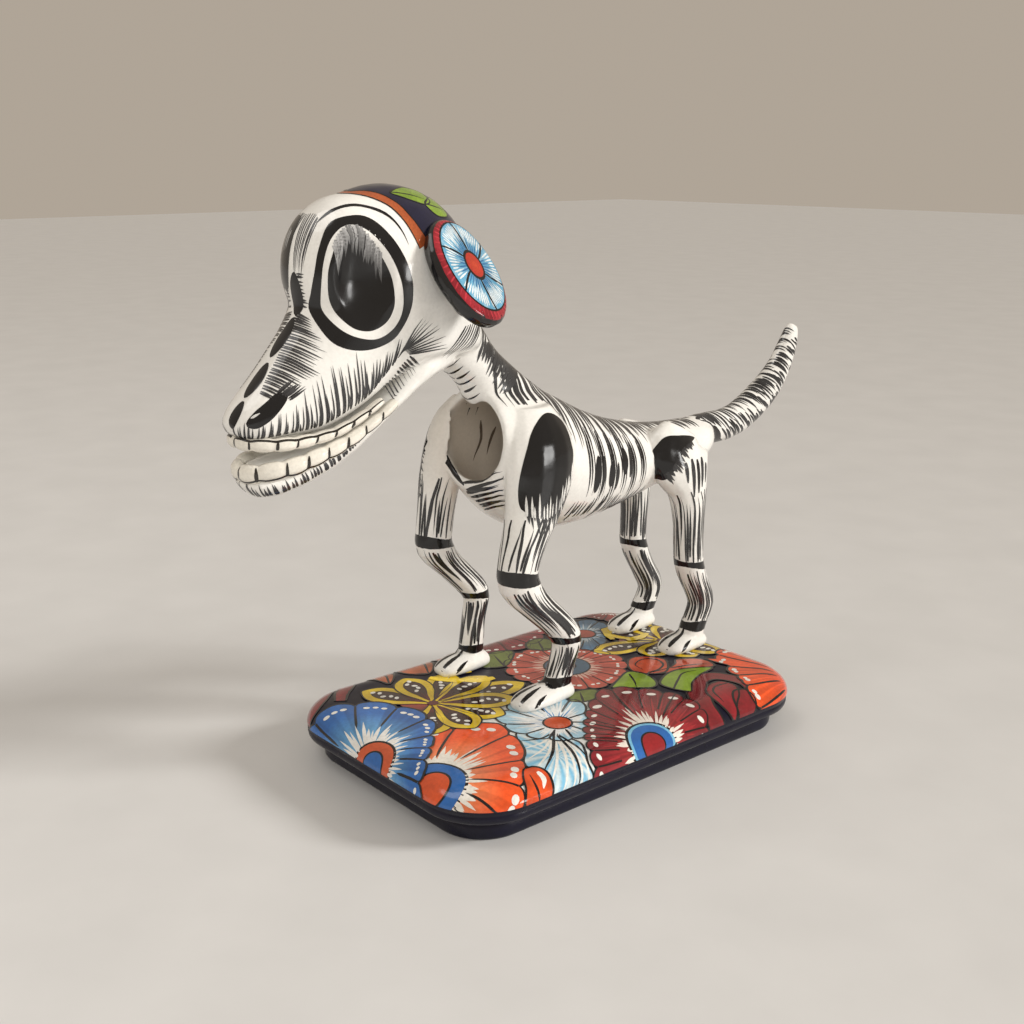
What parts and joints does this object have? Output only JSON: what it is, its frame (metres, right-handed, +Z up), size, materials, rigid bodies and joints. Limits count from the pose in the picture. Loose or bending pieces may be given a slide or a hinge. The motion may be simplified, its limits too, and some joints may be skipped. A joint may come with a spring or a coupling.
{
  "type": "ceramic skeleton dog figurine",
  "caption": "Glazed earthenware skeleton dog striding with its mouth open and tail raised, on a rounded rectangular base painted with flowers",
  "frame": {"origin": "on the table under the middle of the figure's length and width", "axes": "+Z up, the nose points to -Y and the tail to +Y, the dog's left side faces +X"},
  "size_m": [0.166, 0.4074, 0.3043],
  "materials": {
    "white_glaze": "glossy tin-white glaze with black brush hatching",
    "tooth_glaze": "glossy cream glaze, each tooth outlined in black",
    "ear_glaze": "glossy glaze, a light blue flower inside a crimson rim",
    "painted_glaze": "glossy glaze painted with blue, orange, red and yellow flowers and green leaves on cobalt",
    "cobalt_glaze": "very dark cobalt glaze, bare clay under the foot"
  },
  "bodies": {
    "root": {"base_slab": "painted_glaze", "base_foot": "cobalt_glaze", "torso": "white_glaze", "neck": "white_glaze", "tail": "white_glaze", "skull": "white_glaze", "jaw": "white_glaze", "upper_teeth": "tooth_glaze", "lower_teeth": "tooth_glaze", "ear_left": "ear_glaze", "ear_right": "ear_glaze", "front_left_shoulder": "white_glaze", "front_left_forearm": "white_glaze", "front_left_pastern": "white_glaze", "front_left_paw": "white_glaze", "front_right_shoulder": "white_glaze", "front_right_forearm": "white_glaze", "front_right_pastern": "white_glaze", "front_right_paw": "white_glaze", "rear_left_thigh": "white_glaze", "rear_left_shank": "white_glaze", "rear_left_paw": "white_glaze", "rear_right_thigh": "white_glaze", "rear_right_shank": "white_glaze", "rear_right_paw": "white_glaze"}
  },
  "joints": []
}
